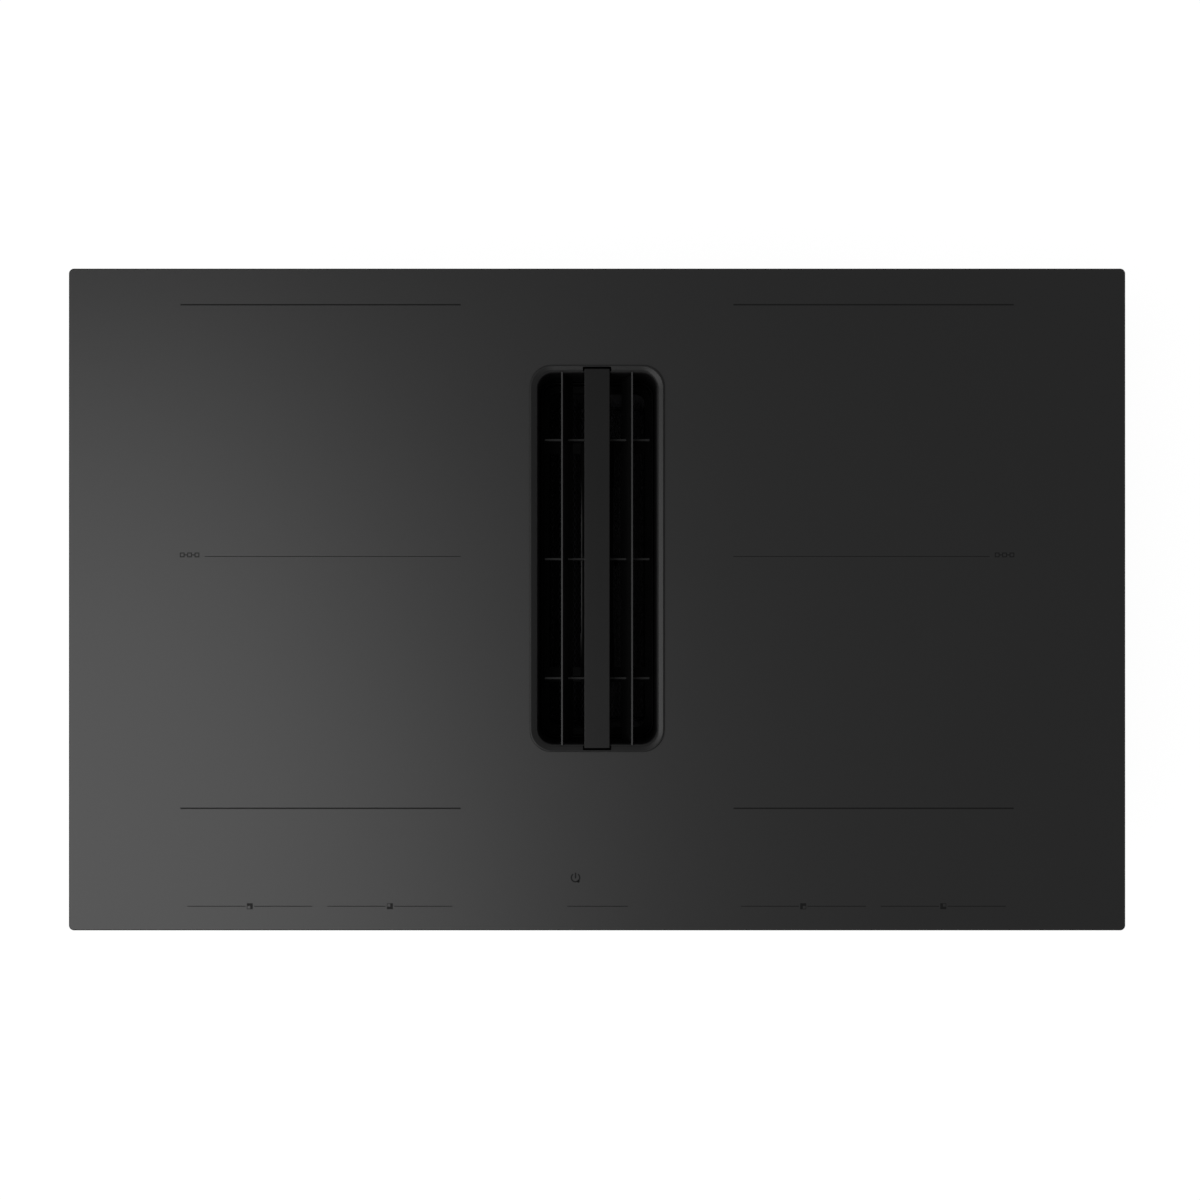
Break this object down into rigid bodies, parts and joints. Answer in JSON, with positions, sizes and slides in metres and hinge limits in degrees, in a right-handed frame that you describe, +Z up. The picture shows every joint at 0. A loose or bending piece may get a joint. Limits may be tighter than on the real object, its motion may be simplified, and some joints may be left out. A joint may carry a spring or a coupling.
{
  "type": "downdraft induction cooktop",
  "caption": "Built-in black glass induction cooktop with a central downdraft intake, lift-out grille, grease filter and overflow tray, and a radial extractor fan below.",
  "frame": {"origin": "middle of the plane where the foam seal under the glass rests on the worktop", "axes": "+X to the right along the glass, +Y to the back, +Z up out of the worktop"},
  "size_m": [0.83, 0.52, 0.2175],
  "materials": {
    "ceramic_glass": "matt black glass ceramic",
    "rim_black": "satin black enamel",
    "bar_black": "satin black powder coat",
    "lattice_black": "matt black moulding",
    "silicone": "soft black",
    "foam": "closed-cell foam",
    "stainless": "drawn wire",
    "filter_coat": "matt black coat",
    "mesh_coat": "black coated expanded mesh",
    "tray_plastic": "matt black",
    "zinc_sheet": "galvanised sheet",
    "coil_aluminium": "mill finish",
    "ferrite": "sintered",
    "sensor_ceramic": "unglazed",
    "mat_fibre": "needled fibre",
    "white_nylon": "moulded",
    "circuit_board": "solder mask",
    "fan_plastic": "moulded",
    "housing_plastic": "fine-grained moulding",
    "scroll_plastic": "moulded",
    "impeller_plastic": "moulded",
    "zinc_screw": "zinc plated",
    "steel_bright": "ground",
    "copper_winding": "enamelled copper"
  },
  "bodies": {
    "root": {"glass_panel": "ceramic_glass", "perimeter_seal": "foam", "intake_frame": "rim_black", "intake_gasket": "silicone", "throat_seal": "foam", "hob_pan": "zinc_sheet", "coil_tray_left": "coil_aluminium", "coil_tray_right": "coil_aluminium", "coil_ferrites": "ferrite", "coil_sensors": "sensor_ceramic", "insulation_mats": "mat_fibre", "board_standoffs": "white_nylon", "power_board_left": "circuit_board", "power_board_right": "circuit_board", "heatsink_left": "coil_aluminium", "heatsink_right": "coil_aluminium", "cooling_fan_frame_left": "fan_plastic", "cooling_fan_frame_right": "fan_plastic", "touch_housing": "white_nylon", "touch_board": "circuit_board", "touch_springs": "stainless", "terminal_box": "housing_plastic", "terminal_cover": "housing_plastic", "terminal_block": "white_nylon", "mains_gland": "housing_plastic", "clamp_brackets": "zinc_sheet", "bracket_screws": "zinc_screw", "duct_housing_upper": "housing_plastic", "duct_housing_lower": "housing_plastic", "housing_screws": "zinc_screw", "outlet_spigot": "housing_plastic", "fan_scroll": "scroll_plastic", "motor_stator": "copper_winding", "motor_bearings": "steel_bright", "motor_plate": "zinc_sheet", "motor_bushes": "silicone", "motor_screws": "zinc_screw", "coil_former_1": "white_nylon", "coil_winding_1": "copper_winding", "coil_former_2": "white_nylon", "coil_winding_2": "copper_winding", "coil_former_3": "white_nylon", "coil_winding_3": "copper_winding", "coil_former_4": "white_nylon", "coil_winding_4": "copper_winding"},
    "tray": {"drip_tray": "tray_plastic"},
    "filter": {"filter_frame": "filter_coat", "filter_mesh": "mesh_coat", "filter_handle": "filter_coat"},
    "grille": {"grille_bar": "bar_black", "grille_lattice": "lattice_black", "grille_nuts": "zinc_screw", "grille_bumpers": "silicone"},
    "fan_wheel": {"impeller": "impeller_plastic", "rotor_cup": "zinc_sheet", "motor_shaft": "steel_bright"},
    "cooler_left": {"cooling_fan_rotor_left": "fan_plastic"},
    "cooler_right": {"cooling_fan_rotor_right": "fan_plastic"}
  },
  "joints": [
    {"name": "tray_lift", "type": "slide", "parent": "root", "child": "tray", "axis": [0, 0, 1], "range_m": [0, 0.24]},
    {"name": "filter_lift", "type": "slide", "parent": "tray", "child": "filter", "axis": [0, 0, 1], "range_m": [0, 0.12]},
    {"name": "grille_lift", "type": "slide", "parent": "filter", "child": "grille", "axis": [0, 0, 1], "range_m": [0, 0.08]},
    {"name": "fan_spin", "type": "hinge", "parent": "root", "child": "fan_wheel", "pos_m": [0.172, -0.008, -0.094], "axis": [0, 0, 1], "continuous": true},
    {"name": "cooler_left_spin", "type": "hinge", "parent": "root", "child": "cooler_left", "pos_m": [-0.325, 0.18, -0.044], "axis": [0, 0, 1], "continuous": true},
    {"name": "cooler_right_spin", "type": "hinge", "parent": "root", "child": "cooler_right", "pos_m": [0.325, 0.18, -0.044], "axis": [0, 0, 1], "continuous": true}
  ]
}
